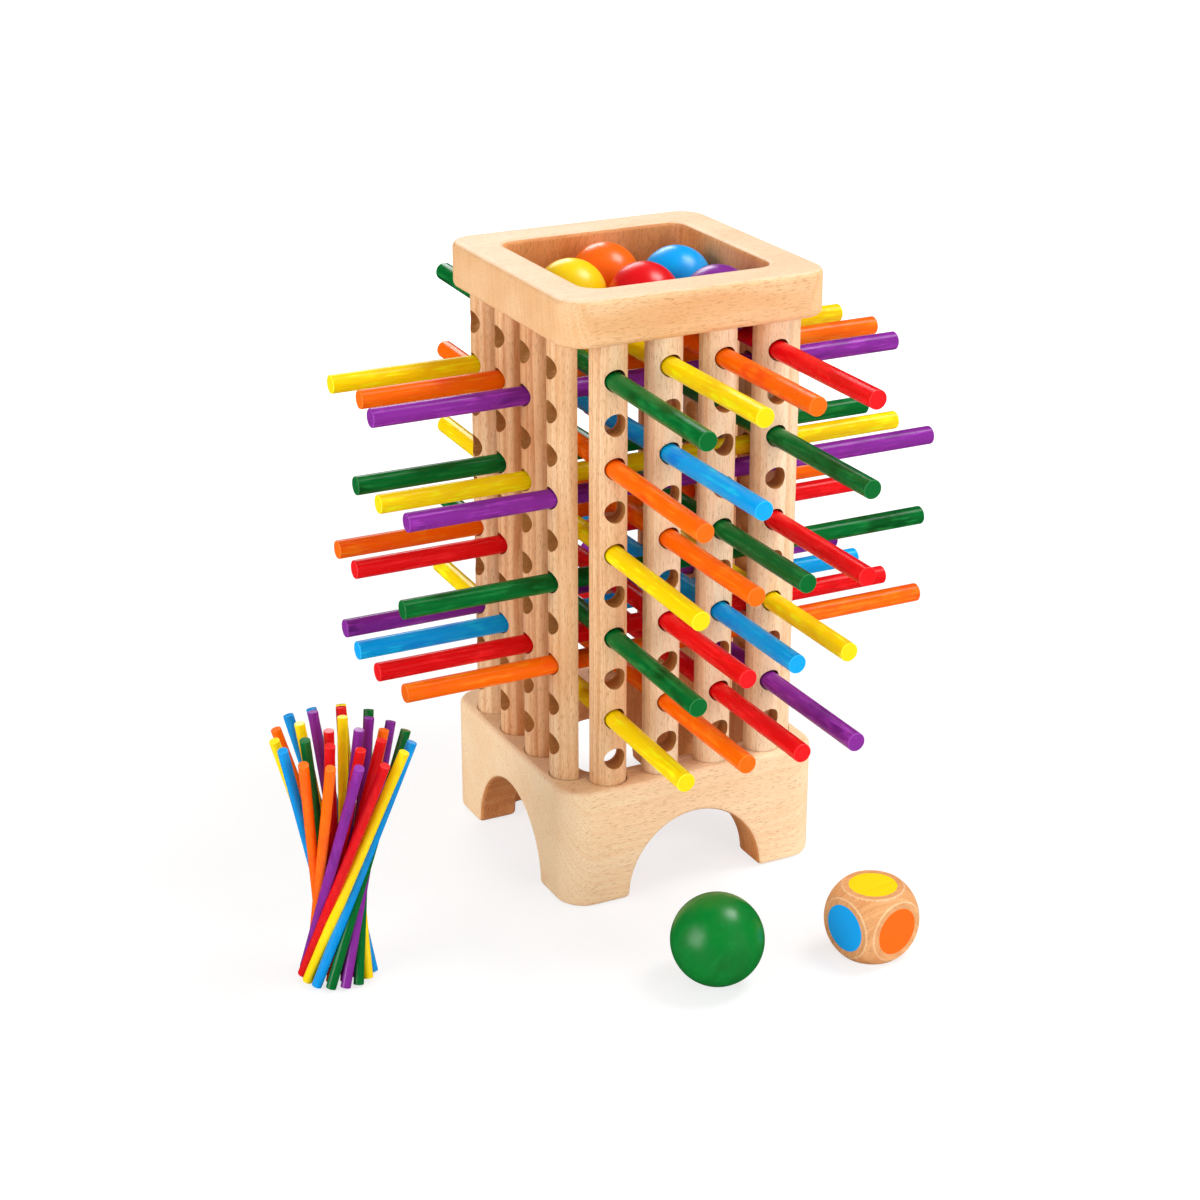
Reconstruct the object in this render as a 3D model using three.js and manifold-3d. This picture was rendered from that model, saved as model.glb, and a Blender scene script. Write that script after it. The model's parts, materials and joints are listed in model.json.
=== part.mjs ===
// Peg drop toy: a square tower of half-round posts between a base block and a tray frame, with painted
// sticks through the posts, balls in the tray, and a loose ball, a colour die and spare sticks beside it.
// Millimetres, +Z up. The tower stands on the floor, its front faces -Y and its left side faces -X.
import * as THREE from "three";
import { mergeVertices } from "three/addons/utils/BufferGeometryUtils.js";
import Module from "manifold-3d";

// Tray frame
const FRAME_SIDE = 120;
const FRAME_HEIGHT = 19.5;
const RIM_WIDTH = 17.5;
const FRAME_CORNER_RADIUS = 12;
const OPENING_CORNER_RADIUS = 8;
const EDGE_CHAMFER = 1.2;

// Base block: FOOT_WIDTH is the foot's width at the floor, CROWN_WOOD the wood above each arch
const BASE_OVERHANG = 1;
const BASE_HEIGHT = 53.5;
const FOOT_WIDTH = 29.5;
const CROWN_WOOD = 19.5;

// Posts: the flat back lies POST_FLAT behind the centre of the round front. One stands upside down.
const POSTS_PER_SIDE = 4;
const POST_RADIUS = 8;
const POST_FLAT = 1;
const POST_SETBACK = 2.5;
const POST_INSERT = 10;
const CORNER_GAP = 1.4;
const SOCKET_CLEARANCE = 0.2;
const UPSIDE_DOWN_POST = "post_front_1";

// Stick holes: the margins run from the nearest block to the centre of the first and last hole
const LEVELS = 10;
const LEVEL_PITCH = 18.3;
const TOP_MARGIN = 12.1;
const BOTTOM_MARGIN = 15;
const HOLE_CLEARANCE = 0.75;

// Sticks: each lies STICK_SAG below the middle of its holes, pushed along them by a count of PUSH_LENGTH
const STICK_DIAMETER = 8;
const STICK_LENGTH = 246;
const STICK_SAG = 0.3;
const PUSH_LENGTH = 1;

// Balls: the tray's are sized from the stick grid, so that two neighbouring sticks carry each
const BALL_PER_PITCH = 1.22;
const BALL_GAP = 0.3;
const BALL_ROWS = 4;
const LOOSE_BALL_DIAMETER = 38;
const LOOSE_BALL_LEFT = 32;
const LOOSE_BALL_FRONT_GAP = 57;

// Colour die: a cube whose corners are rounded off by a ball of DIE_ROUND diameter
const DIE_SIDE = 30;
const DIE_ROUND = 39;
const DIE_TURN = THREE.MathUtils.degToRad(11);
const DIE_RIGHT = 36.7;
const DIE_FRONT_GAP = 67.5;

// Spare sticks: rings that lean round a waist and bite SPARE_BITE into each other, all tipped over by SPARE_TIP
const SPARE_DIAMETER = 4.2;
const SPARE_LENGTH = 112;
const SPARE_RINGS = [3, 9, 15];
const SPARE_LEAN = THREE.MathUtils.degToRad(19.5);
const SPARE_TIP = THREE.MathUtils.degToRad(3.4);
const SPARE_TIP_WAY = THREE.MathUtils.degToRad(-26.6);
const SPARE_WAIST_HEIGHT = 32;
const SPARE_BITE = 0.5;
const SPARE_SIDE_GAP = 43;
const SPARE_FORWARD = 62.5;

// How fine the round shapes are
const CORNER_STEPS = 4;
const ARCH_STEPS = 24;
const POST_STEPS = 6;
const HOLE_SIDES = 8;
const STICK_SIDES = 12;
const BALL_STEPS = 16;
const DIE_STEPS = 20;
const SPARE_SIDES = 6;
const CUT_REACH = 1;
const WELD = 1e-4;

// Sizes that follow from the ones above
const BASE_SIDE = FRAME_SIDE + 2 * BASE_OVERHANG;
const OPENING = FRAME_SIDE - 2 * RIM_WIDTH;
const POST_AXIS = FRAME_SIDE / 2 - POST_SETBACK - POST_RADIUS;
const CORNER_INSET = (2 * POST_RADIUS + CORNER_GAP) / Math.SQRT2;
const POST_PITCH = (2 * (POST_AXIS - CORNER_INSET)) / (POSTS_PER_SIDE - 1);
const POST_CLEAR = BOTTOM_MARGIN + (LEVELS - 1) * LEVEL_PITCH + TOP_MARGIN;
const POST_LENGTH = POST_CLEAR + 2 * POST_INSERT;
const FRAME_BOTTOM = BASE_HEIGHT + POST_CLEAR;
const STICK_RADIUS = STICK_DIAMETER / 2;
const HOLE_RADIUS = STICK_RADIUS + HOLE_CLEARANCE;
const BALL_DIAMETER = BALL_PER_PITCH * POST_PITCH;
const BALL_RADIUS = BALL_DIAMETER / 2;

// Sticks that run front to back: level from the top, column from the left, paint, steps towards the back
const LONG_STICKS = [
  [1, 1, "green", -9],
  [1, 2, "yellow", -8],
  [1, 3, "orange", -5],
  [1, 4, "red", -8],
  [3, 1, "orange", -8],
  [3, 2, "blue", -9],
  [3, 4, "green", -7],
  [5, 1, "yellow", -6],
  [5, 2, "orange", -5],
  [5, 3, "green", -2],
  [5, 4, "red", -6],
  [7, 1, "green", -5],
  [7, 2, "red", 0],
  [7, 3, "blue", 4],
  [7, 4, "yellow", 5],
  [9, 1, "yellow", 4],
  [9, 2, "orange", -1],
  [9, 3, "red", -2],
  [9, 4, "purple", -3],
];

// Sticks that run left to right: level from the top, row from the front, paint, steps towards the right
const CROSS_STICKS = [
  [2, 2, "purple", -1],
  [2, 3, "orange", 4],
  [2, 4, "yellow", 1],
  [4, 1, "purple", 3],
  [4, 2, "yellow", 1],
  [4, 3, "green", 1],
  [6, 1, "green", 0],
  [6, 3, "red", -1],
  [6, 4, "orange", 1],
  [8, 1, "orange", 0],
  [8, 2, "red", -2],
  [8, 3, "blue", -1],
  [8, 4, "purple", 3],
];

// Materials
const BEECH = new THREE.MeshStandardMaterial({ color: 0xdfb07f, roughness: 0.55, metalness: 0 });
const POST_WOOD = new THREE.MeshStandardMaterial({ color: 0xe0ae80, roughness: 0.55, metalness: 0 });
const PAINT_COLOURS = {
  green: 0x0b7034,
  yellow: 0xf6cb05,
  orange: 0xfa6410,
  red: 0xd90b12,
  blue: 0x1c86cf,
  purple: 0x641a86,
};

/** Satin paint for the sticks, or gloss paint for the balls, in each of the game's colours. */
function paints(roughness) {
  const made = {};
  for (const [name, color] of Object.entries(PAINT_COLOURS)) {
    made[name] = new THREE.MeshStandardMaterial({ color, roughness, metalness: 0 });
  }
  return made;
}
const STICK_PAINT = paints(0.45);
const BALL_PAINT = paints(0.2);

const wasm = await Module();
wasm.setup();

/** A closed geometry as a solid that can be joined and cut. */
function solidOf(geometry) {
  const bare = geometry.clone();
  bare.deleteAttribute("normal");
  bare.deleteAttribute("uv");
  const welded = mergeVertices(bare, WELD);
  const corners = [];
  for (let i = 0; i < welded.index.count; i += 3) {
    const face = [0, 1, 2].map((k) => welded.index.getX(i + k));
    if (new Set(face).size === 3) corners.push(...face);
  }
  const triVerts = new Uint32Array(corners);
  const vertProperties = welded.attributes.position.array;
  return new wasm.Manifold(new wasm.Mesh({ numProp: 3, vertProperties, triVerts }));
}

/** A solid back as a geometry. */
function geometryOf(solid) {
  const made = solid.getMesh();
  const geometry = new THREE.BufferGeometry();
  geometry.setAttribute("position", new THREE.BufferAttribute(made.vertProperties, 3));
  geometry.setIndex(new THREE.BufferAttribute(made.triVerts, 1));
  geometry.computeVertexNormals();
  return geometry;
}

/** A named mesh. */
function piece(name, geometry, material) {
  const mesh = new THREE.Mesh(geometry, material);
  mesh.name = name;
  return mesh;
}

/** Draws a square with rounded corners, centred on the origin. */
function roundedSquare(path, side, radius) {
  const arm = side / 2 - radius;
  path.absarc(arm, -arm, radius, -Math.PI / 2, 0);
  path.absarc(arm, arm, radius, 0, Math.PI / 2);
  path.absarc(-arm, arm, radius, Math.PI / 2, Math.PI);
  path.absarc(-arm, -arm, radius, Math.PI, 1.5 * Math.PI);
  path.closePath();
  return path;
}

/** A square block with rounded corners, chamfered edges and the drop shaft through it, from z = 0 up. */
function shaftBlock(side, cornerRadius, height) {
  const outline = roundedSquare(new THREE.Shape(), side, cornerRadius);
  outline.holes.push(roundedSquare(new THREE.Path(), OPENING, OPENING_CORNER_RADIUS));
  const block = new THREE.ExtrudeGeometry(outline, {
    depth: height - 2 * EDGE_CHAMFER,
    bevelThickness: EDGE_CHAMFER,
    bevelSize: EDGE_CHAMFER,
    bevelOffset: -EDGE_CHAMFER,
    bevelSegments: 1,
    curveSegments: CORNER_STEPS,
  });
  block.translate(0, 0, EDGE_CHAMFER);
  return solidOf(block);
}

/** A half-round bar from z = 0 up, with its round front towards -Y, grown all round by an allowance. */
function halfRound(length, allowance) {
  const radius = POST_RADIUS + allowance;
  const flat = POST_FLAT + allowance;
  const dip = Math.asin(flat / radius);
  const section = new THREE.Shape();
  section.absarc(0, 0, radius, Math.PI - dip, 2 * Math.PI + dip);
  section.closePath();
  const options = { depth: length, bevelEnabled: false, curveSegments: POST_STEPS };
  return new THREE.ExtrudeGeometry(section, options);
}

/** How far along its side a post stands, from the side's middle: lanes are counted from 1. */
function laneOffset(lane) {
  return (lane - (POSTS_PER_SIDE + 1) / 2) * POST_PITCH;
}

const SIDES = [
  { name: "front", turn: 0, place: (along) => [along, -POST_AXIS] },
  { name: "right", turn: Math.PI / 2, place: (along) => [POST_AXIS, along] },
  { name: "back", turn: Math.PI, place: (along) => [along, POST_AXIS] },
  { name: "left", turn: -Math.PI / 2, place: (along) => [-POST_AXIS, along] },
];

/** Every post's name, turn and place in plan. */
function postPlaces() {
  const places = [];
  for (const side of SIDES) {
    for (let lane = 1; lane <= POSTS_PER_SIDE; lane += 1) {
      const [x, y] = side.place(laneOffset(lane));
      places.push({ name: `post_${side.name}_${lane}`, turn: side.turn, x, y });
    }
  }
  return places;
}

/** All the blind sockets of one block, joined into one cutter: they open at z = mouth. */
function socketCutter(mouth, direction) {
  const depth = POST_INSERT + SOCKET_CLEARANCE;
  const bottom = direction > 0 ? mouth - CUT_REACH : mouth - depth;
  const cutters = postPlaces().map(({ turn, x, y }) => {
    const cutter = halfRound(depth + CUT_REACH, SOCKET_CLEARANCE);
    cutter.rotateZ(turn);
    cutter.translate(x, y, bottom);
    return solidOf(cutter);
  });
  return wasm.Manifold.union(cutters);
}

/** An elliptical arch that runs right through the base, front to back, turned about the tower's axis. */
function archCutter(turn) {
  const outline = new THREE.Shape();
  const halfWidth = BASE_SIDE / 2 - FOOT_WIDTH;
  const crown = BASE_HEIGHT - CROWN_WOOD;
  outline.absellipse(0, 0, halfWidth, crown, 0, 2 * Math.PI);
  const depth = BASE_SIDE + 2 * CUT_REACH;
  const arch = new THREE.ExtrudeGeometry(outline, { depth, bevelEnabled: false, curveSegments: ARCH_STEPS });
  arch.translate(0, 0, -depth / 2);
  arch.rotateX(Math.PI / 2);
  arch.rotateZ(turn);
  return solidOf(arch);
}

/** The base block with its arches and sockets. */
function baseBlock() {
  const arches = wasm.Manifold.union([archCutter(0), archCutter(Math.PI / 2)]);
  const block = shaftBlock(BASE_SIDE, FRAME_CORNER_RADIUS + BASE_OVERHANG, BASE_HEIGHT);
  const cut = block.subtract(arches).subtract(socketCutter(BASE_HEIGHT, -1));
  return piece("base_block", geometryOf(cut), BEECH);
}

/** The tray frame with its sockets, standing on z = 0. */
function trayFrame() {
  const block = shaftBlock(FRAME_SIDE, FRAME_CORNER_RADIUS, FRAME_HEIGHT);
  const frame = piece("tray_frame", geometryOf(block.subtract(socketCutter(0, 1))), BEECH);
  frame.position.z = FRAME_BOTTOM;
  return frame;
}

/** The height of a level's hole centres above the floor, counted from 1 at the top. */
function levelHeight(level) {
  return FRAME_BOTTOM - TOP_MARGIN - (level - 1) * LEVEL_PITCH;
}

/** One post with a stick hole at every level, from its lower end up. */
function postGeometry() {
  const acrossCorners = HOLE_RADIUS / Math.cos(Math.PI / HOLE_SIDES);
  const reach = 2 * (POST_RADIUS + CUT_REACH);
  const holes = [];
  for (let level = 1; level <= LEVELS; level += 1) {
    const hole = new THREE.CylinderGeometry(acrossCorners, acrossCorners, reach, HOLE_SIDES);
    hole.rotateY(Math.PI / HOLE_SIDES);
    hole.translate(0, 0, levelHeight(level) - BASE_HEIGHT + POST_INSERT);
    holes.push(solidOf(hole));
  }
  return geometryOf(solidOf(halfRound(POST_LENGTH, 0)).subtract(wasm.Manifold.union(holes)));
}

/** The posts, all cut to one pattern, with one of them turned end for end. */
function posts() {
  const group = new THREE.Group();
  const upright = postGeometry();
  const flipped = upright.clone().rotateY(Math.PI).translate(0, 0, POST_LENGTH);
  for (const { name, turn, x, y } of postPlaces()) {
    const post = piece(name, name === UPSIDE_DOWN_POST ? flipped : upright, POST_WOOD);
    post.position.set(x, y, BASE_HEIGHT - POST_INSERT);
    post.rotation.z = turn;
    group.add(post);
  }
  return group;
}

/** How much lower a post's holes sit than the others': an upside-down post has its margins swapped. */
function holeDrop(post) {
  return post === UPSIDE_DOWN_POST ? BOTTOM_MARGIN - TOP_MARGIN : 0;
}

/** How a stick lies through two posts: its rise towards the second, and its height at the tower's axis. */
function stickLie(level, first, second) {
  const slope = (holeDrop(first) - holeDrop(second)) / (2 * POST_AXIS);
  const drop = (holeDrop(first) + holeDrop(second)) / 2;
  return { slope, height: levelHeight(level) - STICK_SAG - drop };
}

/** The sticks in the tower's holes. */
function sticks() {
  const group = new THREE.Group();
  const long = new THREE.CylinderGeometry(STICK_RADIUS, STICK_RADIUS, STICK_LENGTH, STICK_SIDES);
  for (const [level, column, paint, push] of LONG_STICKS) {
    const stick = piece(`stick_level${level}_column${column}_${paint}`, long, STICK_PAINT[paint]);
    const { slope, height } = stickLie(level, `post_front_${column}`, `post_back_${column}`);
    const along = push * PUSH_LENGTH;
    stick.position.set(laneOffset(column), along, height + slope * along);
    stick.rotation.x = Math.atan(slope);
    group.add(stick);
  }
  const cross = long.clone().rotateZ(-Math.PI / 2);
  for (const [level, row, paint, push] of CROSS_STICKS) {
    const stick = piece(`stick_level${level}_row${row}_${paint}`, cross, STICK_PAINT[paint]);
    const { slope, height } = stickLie(level, `post_left_${row}`, `post_right_${row}`);
    const along = push * PUSH_LENGTH;
    stick.position.set(along, laneOffset(row), height + slope * along);
    stick.rotation.y = -Math.atan(slope);
    group.add(stick);
  }
  return group;
}

/** A ball with its poles up and down, centred on the origin. */
function ballGeometry(diameter) {
  return new THREE.SphereGeometry(diameter / 2, BALL_STEPS, BALL_STEPS / 2).rotateX(Math.PI / 2);
}

/** The tray's balls: each lies in a groove between two top sticks, in rows that share the tray's depth. */
function trayBalls() {
  const group = new THREE.Group();
  const geometry = ballGeometry(BALL_DIAMETER);
  const wallRow = OPENING / 2 - BALL_RADIUS - BALL_GAP;
  const rowStep = (2 * wallRow) / (BALL_ROWS - 1);
  const reach = BALL_RADIUS + STICK_RADIUS + BALL_GAP;
  const rise = Math.sqrt(Math.max(0, reach ** 2 - (POST_PITCH / 2) ** 2));
  const places = {
    orange: [0, wallRow],
    yellow: [-POST_PITCH, wallRow - rowStep],
    blue: [POST_PITCH, wallRow - rowStep],
    red: [0, wallRow - 2 * rowStep],
    purple: [POST_PITCH, -wallRow],
  };
  for (const [paint, [x, y]] of Object.entries(places)) {
    const ball = piece(`ball_${paint}`, geometry, BALL_PAINT[paint]);
    ball.position.set(x, y, levelHeight(1) - STICK_SAG + rise);
    group.add(ball);
  }
  return group;
}

/** The loose ball on the floor in front of the tower. */
function looseBall() {
  const radius = LOOSE_BALL_DIAMETER / 2;
  const ball = piece("ball_green", ballGeometry(LOOSE_BALL_DIAMETER), BALL_PAINT.green);
  ball.position.set(-LOOSE_BALL_LEFT, -BASE_SIDE / 2 - LOOSE_BALL_FRONT_GAP - radius, radius);
  return ball;
}

/** The colour die on the floor in front of the tower. */
function colourDie() {
  const cube = solidOf(new THREE.BoxGeometry(DIE_SIDE, DIE_SIDE, DIE_SIDE));
  const round = solidOf(new THREE.SphereGeometry(DIE_ROUND / 2, DIE_STEPS, DIE_STEPS / 2));
  const die = piece("colour_die", geometryOf(cube.intersect(round)), BEECH);
  die.position.set(DIE_RIGHT, -BASE_SIDE / 2 - DIE_FRONT_GAP - DIE_SIDE / 2, DIE_SIDE / 2);
  die.rotation.z = DIE_TURN;
  return die;
}

/** The radius at the waist of a ring of spare sticks whose neighbours bite into each other. */
function waistRadius(count) {
  return (SPARE_DIAMETER - SPARE_BITE) / (2 * Math.sin(Math.PI / count));
}

/** A level vector of some length towards an angle. */
function level(angle, length) {
  return new THREE.Vector3(Math.cos(angle), Math.sin(angle), 0).multiplyScalar(length);
}

/** One leaning spare stick: it passes its ring's waist sideways and its lower rim stands on the floor. */
function spareStick(count, index) {
  const radius = SPARE_DIAMETER / 2;
  const waist = waistRadius(count);
  const angle = (2 * Math.PI * index) / count;
  const slope = (Math.tan(SPARE_LEAN) * waist) / waistRadius(SPARE_RINGS.at(-1));
  const twist = level(angle + Math.PI / 2, slope);
  const tip = level(SPARE_TIP_WAY, Math.tan(SPARE_TIP));
  const axis = twist.clone().add(tip).setZ(1).normalize();
  const middle = radius * Math.sqrt(1 - axis.z ** 2) + (SPARE_LENGTH / 2) * axis.z;
  const centre = level(angle, waist).addScaledVector(twist, middle - SPARE_WAIST_HEIGHT).addScaledVector(tip, middle);
  const stick = new THREE.CylinderGeometry(radius, radius, SPARE_LENGTH, SPARE_SIDES);
  stick.applyQuaternion(new THREE.Quaternion().setFromUnitVectors(new THREE.Vector3(0, 1, 0), axis));
  stick.translate(centre.x, centre.y, middle);
  return solidOf(stick);
}

/** The twisted bundle of spare sticks, joined where they press together at the waist. */
function spareBundle() {
  const parts = SPARE_RINGS.flatMap((count) => Array.from({ length: count }, (_, i) => spareStick(count, i)));
  const geometry = geometryOf(wasm.Manifold.union(parts));
  const bundle = piece("spare_stick_bundle", geometry, STICK_PAINT.yellow);
  bundle.position.set(-STICK_LENGTH / 2 - SPARE_SIDE_GAP, -SPARE_FORWARD, 0);
  return bundle;
}

// The set, moved so that the origin lies on the floor below the middle of its outline
const set = new THREE.Group();
set.add(baseBlock(), trayFrame(), posts(), sticks(), trayBalls());
set.add(looseBall(), colourDie(), spareBundle());
const outline = new THREE.Box3().setFromObject(set);
const middle = outline.getCenter(new THREE.Vector3());
set.position.set(-middle.x, -middle.y, -outline.min.z);

const toy = new THREE.Group();
toy.add(set);

export default toy;
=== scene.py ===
"""Looks of the peg drop toy: beech tower, painted sticks and balls, colour die and spare sticks.

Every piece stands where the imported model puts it, in metres, and rides on the body it belongs to.
"""

from __future__ import annotations

import json
import logging
import math
import random
from collections.abc import Iterable
from dataclasses import dataclass, field
from enum import Enum
from typing import Any

import bmesh
import bpy
from bmesh.types import BMEdge, BMesh, BMFace, BMVert
from bpy.types import Material, Node, NodeSocket, NodeTree, Object
from mathutils import Matrix, Vector

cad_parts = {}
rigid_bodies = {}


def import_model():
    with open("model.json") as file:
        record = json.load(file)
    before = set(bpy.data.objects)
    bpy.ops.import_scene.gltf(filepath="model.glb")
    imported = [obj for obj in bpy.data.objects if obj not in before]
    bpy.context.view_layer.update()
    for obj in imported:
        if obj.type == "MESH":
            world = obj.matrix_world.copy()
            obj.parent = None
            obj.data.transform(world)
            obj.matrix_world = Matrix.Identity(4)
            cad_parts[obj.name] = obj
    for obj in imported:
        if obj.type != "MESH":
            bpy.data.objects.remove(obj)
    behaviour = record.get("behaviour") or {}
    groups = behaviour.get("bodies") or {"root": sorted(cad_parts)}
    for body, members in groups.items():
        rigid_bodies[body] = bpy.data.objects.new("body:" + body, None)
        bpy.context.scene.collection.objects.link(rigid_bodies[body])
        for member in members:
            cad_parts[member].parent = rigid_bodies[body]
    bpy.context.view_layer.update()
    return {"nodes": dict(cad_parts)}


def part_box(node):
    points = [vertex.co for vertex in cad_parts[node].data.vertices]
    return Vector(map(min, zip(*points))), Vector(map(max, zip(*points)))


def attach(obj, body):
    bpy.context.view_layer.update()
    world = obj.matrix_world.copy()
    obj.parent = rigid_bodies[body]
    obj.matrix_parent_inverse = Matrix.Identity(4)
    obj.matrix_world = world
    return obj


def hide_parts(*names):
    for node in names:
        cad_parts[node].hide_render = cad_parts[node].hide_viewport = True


LOG = logging.getLogger("peg_drop_toy")

Triple = tuple[float, float, float]
Colour = tuple[float, float, float, float]

MM = 0.001
UP = Vector((0, 0, 1))
WHITE = (1.0, 1.0, 1.0, 1.0)
TOWER = "tower"
COLOUR, VALUE, VECTOR = "NodeSocketColor", "NodeSocketFloat", "NodeSocketVector"


class Paint(Enum):
    """The game's six paints, as sRGB colours."""

    GREEN = "006829"
    YELLOW = "ffd900"
    ORANGE = "ff6a00"
    RED = "ea0a12"
    BLUE = "00a6f8"
    PURPLE = "842894"

    @property
    def label(self) -> str:
        """The paint's name as slots and finishes spell it."""
        return self.name.lower()

    @classmethod
    def of(cls, node: str) -> Paint:
        """The paint that a stick's or a ball's node is named for."""
        return cls[node.rsplit("_", 1)[1].upper()]


class Run(Enum):
    """The way a stick lies in the tower: its direction."""

    LONG = (0.0, 1.0, 0.0)
    CROSS = (1.0, 0.0, 0.0)


def linear(code: str) -> Colour:
    """Turn an sRGB colour into linear light.

    Args:
        code: The colour as six hexadecimal digits.

    Returns:
        The linear colour with full alpha.
    """

    def channel(value: float) -> float:
        """One sRGB channel as linear light."""
        return value / 12.92 if value <= 0.04045 else ((value + 0.055) / 1.055) ** 2.4

    red, green, blue = (channel(int(code[i : i + 2], 16) / 255) for i in (0, 2, 4))
    return (red, green, blue, 1.0)


class Graph:
    """A node tree under construction."""

    def __init__(self, tree: NodeTree) -> None:
        """Start on a material's, a world's or a group's tree."""
        self.tree = tree

    def feed(self, node: Node, inputs: dict[Any, Any]) -> None:
        """Give a node its inputs.

        Args:
            node: The node.
            inputs: Values, or output sockets to lead there, by the input's name or index.
        """
        for name, value in inputs.items():
            if isinstance(value, NodeSocket):
                self.tree.links.new(value, node.inputs[name])
            else:
                node.inputs[name].default_value = value

    def add(self, kind: str, inputs: dict[Any, Any] | None = None, **settings: Any) -> Node:
        """Add a node.

        Args:
            kind: The node's type name.
            inputs: Values or output sockets for its inputs, by name or index.
            settings: The node's own properties.

        Returns:
            The new node.
        """
        node = self.tree.nodes.new(kind)
        for name, value in settings.items():
            setattr(node, name, value)
        self.feed(node, inputs or {})
        return node

    def math(self, operation: str, first: Any, second: Any = 0.0, third: Any = 0.0) -> NodeSocket:
        """The result of a Math node on values or sockets."""
        node = self.add("ShaderNodeMath", {0: first, 1: second, 2: third}, operation=operation)
        return node.outputs[0]

    def ramp(
        self, value: Any, low: float, high: float, start: float = 0.0, end: float = 1.0
    ) -> NodeSocket:
        """A value carried smoothly from start at low to end at high, and held there beyond."""
        inputs = {"Value": value, "From Min": low, "From Max": high, "To Min": start, "To Max": end}
        return self.add("ShaderNodeMapRange", inputs, interpolation_type="SMOOTHSTEP").outputs[0]

    def mix(self, share: Any, first: Any, second: Any) -> NodeSocket:
        """Two colours mixed by a share."""
        node = self.add("ShaderNodeMix", {0: share, 6: first, 7: second}, data_type="RGBA")
        return node.outputs[2]

    def noise(
        self, vector: NodeSocket, lengths: Triple, detail: float = 2.0, roughness: float = 0.5
    ) -> NodeSocket:
        """Make soft noise.

        Args:
            vector: The place.
            lengths: The noise's length along each axis, in the vector's unit.
            detail: How many finer layers are laid over it.
            roughness: How strong those layers are.

        Returns:
            The noise, from 0 to 1.
        """
        shares = tuple(1 / length for length in lengths)
        drawn = self.add("ShaderNodeVectorMath", {0: vector, 1: shares}, operation="MULTIPLY")
        inputs = {"Vector": drawn.outputs[0], "Scale": 1.0, "Detail": detail, "Roughness": roughness}
        return self.add("ShaderNodeTexNoise", inputs).outputs["Fac"]

    def turned(self, place: NodeSocket, turn: Triple) -> NodeSocket:
        """A place in metres, turned by angles in degrees and counted in millimetres."""
        inputs = {"Vector": place, "Rotation": tuple(map(math.radians, turn)), "Scale": (1 / MM,) * 3}
        return self.add("ShaderNodeMapping", inputs).outputs[0]

    def bump(self, height: NodeSocket, depth: float) -> NodeSocket:
        """A normal that follows a height whose full swing is depth metres."""
        inputs = {"Strength": 1.0, "Distance": depth, "Height": height}
        return self.add("ShaderNodeBump", inputs).outputs[0]


def open_group(name: str, inputs: dict[str, tuple[str, Any]]) -> tuple[Graph, Node, Node]:
    """Start a group that works out a surface's colour, roughness and bump height from a vector.

    Args:
        name: The group's name.
        inputs: The socket type and default value of each input after the vector, by name.

    Returns:
        The group's graph, and its input and output nodes.
    """
    tree = bpy.data.node_groups.new(name, "ShaderNodeTree")
    tree.interface.new_socket("Vector", in_out="INPUT", socket_type=VECTOR)
    for label, (kind, value) in inputs.items():
        socket = tree.interface.new_socket(label, in_out="INPUT", socket_type=kind)
        socket.default_value = value
    for label, kind in (("Color", COLOUR), ("Roughness", VALUE), ("Height", VALUE)):
        tree.interface.new_socket(label, in_out="OUTPUT", socket_type=kind)
    graph = Graph(tree)
    return graph, graph.add("NodeGroupInput"), graph.add("NodeGroupOutput")


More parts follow.
